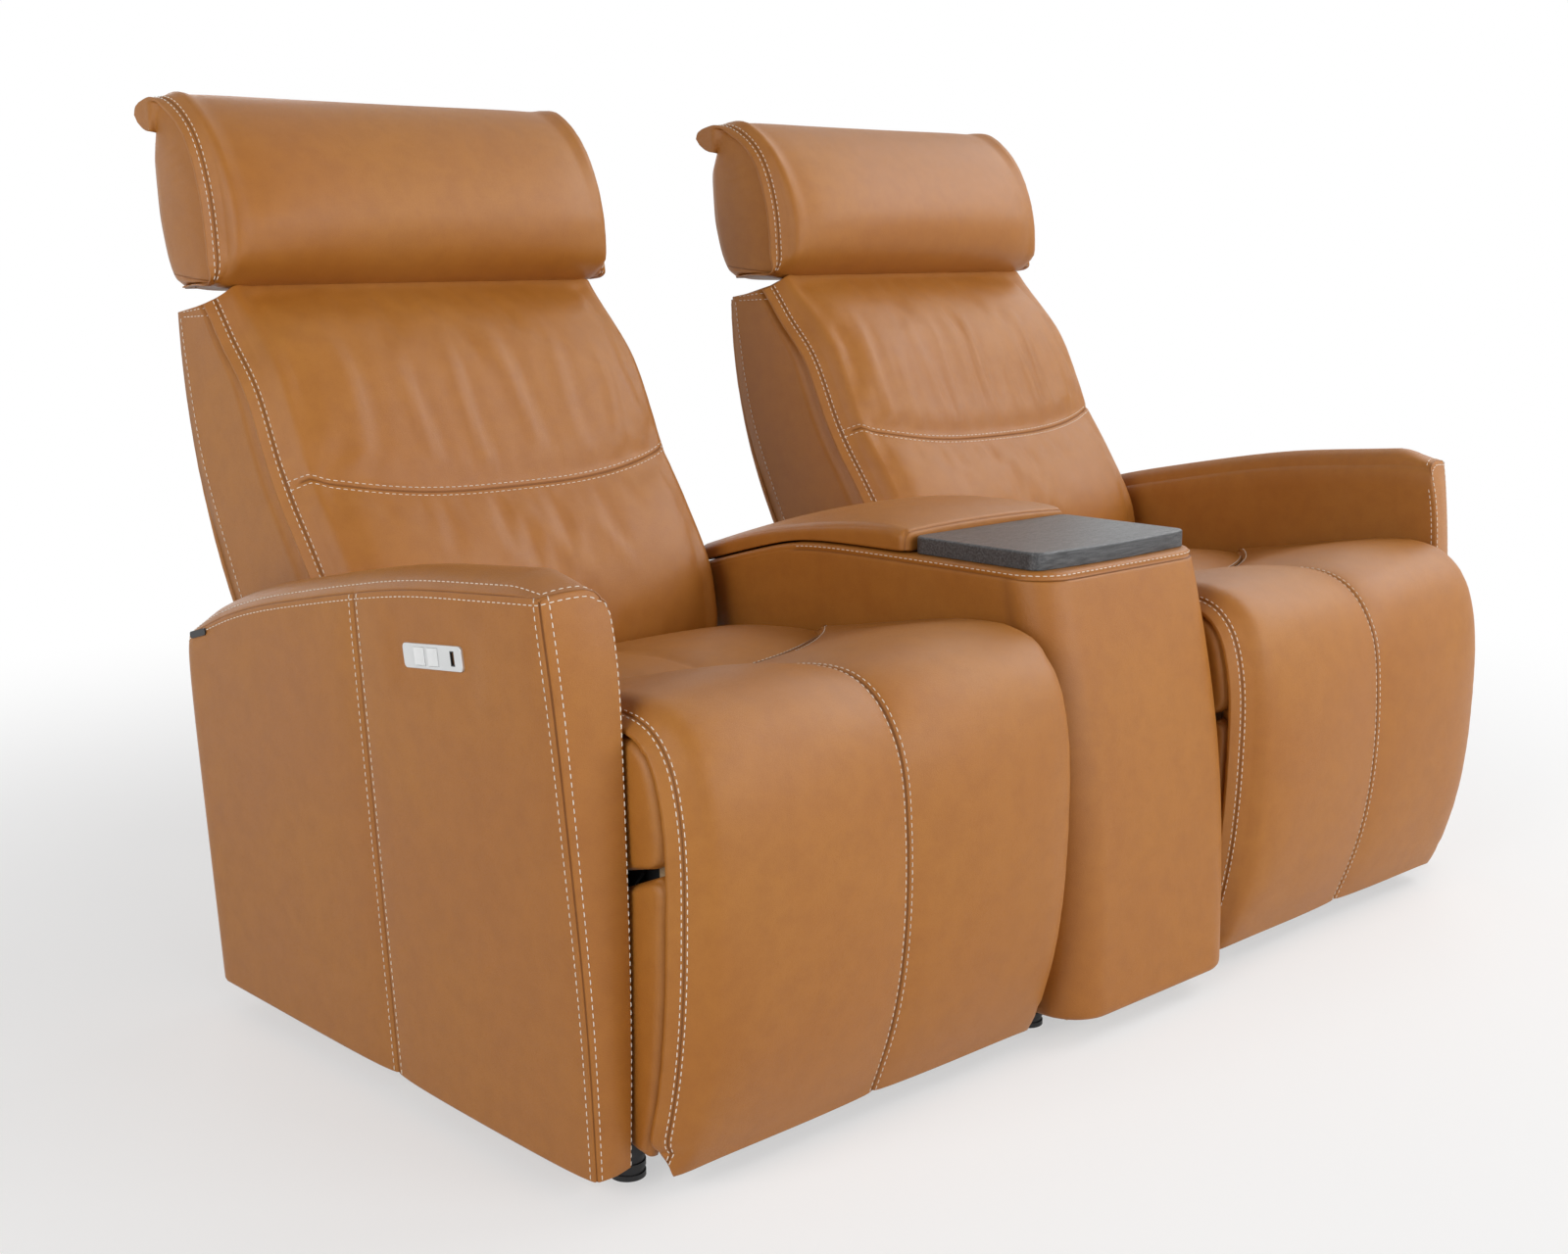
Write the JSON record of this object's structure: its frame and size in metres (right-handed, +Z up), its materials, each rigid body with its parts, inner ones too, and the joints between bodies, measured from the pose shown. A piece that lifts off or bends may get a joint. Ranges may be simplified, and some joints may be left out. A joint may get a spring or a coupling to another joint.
{
  "type": "home theater seat row",
  "caption": "Leather home theater row of reclining seats with leg rests and tilting headrests, joined by a console with a tray and a lidded bin, padded arms at the ends.",
  "frame": {"origin": "centre of the bounding box, on the floor under the row", "axes": "+X along the row to the right arm, -Y towards the front of the seats, +Z up"},
  "size_m": [1.6074, 1.023, 1.079],
  "materials": {
    "leather": "cognac smooth-grain upholstery leather",
    "plywood": "raw plywood boards",
    "black_steel": "black powder coat",
    "zinc_steel": "zinc plated",
    "webbing": "woven elastic webbing",
    "motor_black": "moulded housing",
    "black_plastic": "moulded plastic",
    "plate_silver": "satin silver",
    "key_white": "satin white",
    "tray_wood": "charcoal stained wood grain"
  },
  "bodies": {
    "base": {"usb_sockets": "black_plastic", "zip_pulls": "black_plastic", "side_rails": "black_steel", "cross_tubes": "black_steel", "feet": "black_plastic", "row_spacers": "zinc_steel", "console_cover": "leather", "console_frame": "plywood", "console_bin": "black_plastic", "console_tray": "tray_wood", "tray_screws": "zinc_steel", "lid_hinge": "zinc_steel", "arm_cover_left": "leather", "arm_frame_left": "plywood", "switch_plate_left": "plate_silver", "side_plates_left": "black_steel", "seat_frame_left": "plywood", "seat_cushion_left": "leather", "actuator_left": "motor_black", "rear_panel_left": "leather", "arm_cover_right": "leather", "arm_frame_right": "plywood", "switch_plate_right": "plate_silver", "side_plates_right": "black_steel", "seat_frame_right": "plywood", "seat_cushion_right": "leather", "actuator_right": "motor_black", "rear_panel_right": "leather", "hinge_pins": "zinc_steel", "seat_straps": "webbing"},
    "left_back": {"recline_links_left": "black_steel", "back_board_left": "plywood", "back_panel_left": "leather", "back_cushion_left": "leather", "headrest_arms_left": "black_steel"},
    "left_headrest": {"headrest_board_left": "plywood", "headrest_pad_left": "leather"},
    "left_legrest": {"legrest_arms_left": "black_steel", "legrest_board_left": "plywood", "legrest_pad_left": "leather", "nose_roll_left": "leather"},
    "left_drive": {"drive_yoke_left": "black_steel"},
    "left_recline_key": {"recline_key_left": "key_white"},
    "left_return_key": {"return_key_left": "key_white"},
    "right_back": {"recline_links_right": "black_steel", "back_board_right": "plywood", "back_panel_right": "leather", "back_cushion_right": "leather", "headrest_arms_right": "black_steel"},
    "right_headrest": {"headrest_board_right": "plywood", "headrest_pad_right": "leather"},
    "right_legrest": {"legrest_arms_right": "black_steel", "legrest_board_right": "plywood", "legrest_pad_right": "leather", "nose_roll_right": "leather"},
    "right_drive": {"drive_yoke_right": "black_steel"},
    "right_recline_key": {"recline_key_right": "key_white"},
    "right_return_key": {"return_key_right": "key_white"},
    "console_lid": {"console_lid_board": "plywood", "console_lid_pad": "leather"}
  },
  "joints": [
    {"name": "left_recline", "type": "hinge", "parent": "base", "child": "left_back", "pos_m": [-0.4435, 0.13, 0.405], "axis": [-1, 0, 0], "range_deg": [0, 30]},
    {"name": "left_legrest_swing", "type": "hinge", "parent": "base", "child": "left_legrest", "pos_m": [-0.4435, -0.425, 0.408], "axis": [-1, 0, 0], "range_deg": [0, 80]},
    {"name": "left_drive_slide", "type": "slide", "parent": "base", "child": "left_drive", "axis": [0, -1, 0], "range_m": [0, 0.05785]},
    {"name": "left_headrest_tilt", "type": "hinge", "parent": "left_back", "child": "left_headrest", "pos_m": [-0.4435, 0.374, 0.85], "axis": [1, 0, 0], "range_deg": [0, 35]},
    {"name": "left_recline_key_press", "type": "slide", "parent": "base", "child": "left_recline_key", "axis": [0.9992, 0, 0.0408], "range_m": [0, 0.0015], "stiffness_N_per_m": 900},
    {"name": "left_return_key_press", "type": "slide", "parent": "base", "child": "left_return_key", "axis": [0.9992, 0, 0.0408], "range_m": [0, 0.0015], "stiffness_N_per_m": 900},
    {"name": "right_recline", "type": "hinge", "parent": "base", "child": "right_back", "pos_m": [0.4435, 0.13, 0.405], "axis": [-1, 0, 0], "range_deg": [0, 30]},
    {"name": "right_legrest_swing", "type": "hinge", "parent": "base", "child": "right_legrest", "pos_m": [0.4435, -0.425, 0.408], "axis": [-1, 0, 0], "range_deg": [0, 80]},
    {"name": "right_drive_slide", "type": "slide", "parent": "base", "child": "right_drive", "axis": [0, -1, 0], "range_m": [0, 0.05785]},
    {"name": "right_headrest_tilt", "type": "hinge", "parent": "right_back", "child": "right_headrest", "pos_m": [0.4435, 0.374, 0.85], "axis": [1, 0, 0], "range_deg": [0, 35]},
    {"name": "right_recline_key_press", "type": "slide", "parent": "base", "child": "right_recline_key", "axis": [-0.9992, 0, 0.0408], "range_m": [0, 0.0015], "stiffness_N_per_m": 900},
    {"name": "right_return_key_press", "type": "slide", "parent": "base", "child": "right_return_key", "axis": [-0.9992, 0, 0.0408], "range_m": [0, 0.0015], "stiffness_N_per_m": 900},
    {"name": "console_lid_hinge", "type": "hinge", "parent": "base", "child": "console_lid", "pos_m": [0, 0.18, 0.48955], "axis": [-1, 0, 0], "range_deg": [0, 75]}
  ],
  "couplings": [
    {"joint": "left_legrest_swing", "follows": "left_recline", "ratio": 2.6667},
    {"joint": "left_drive_slide", "follows": "left_recline", "m_per_rad": 0.11049},
    {"joint": "right_legrest_swing", "follows": "right_recline", "ratio": 2.6667},
    {"joint": "right_drive_slide", "follows": "right_recline", "m_per_rad": 0.11049}
  ]
}
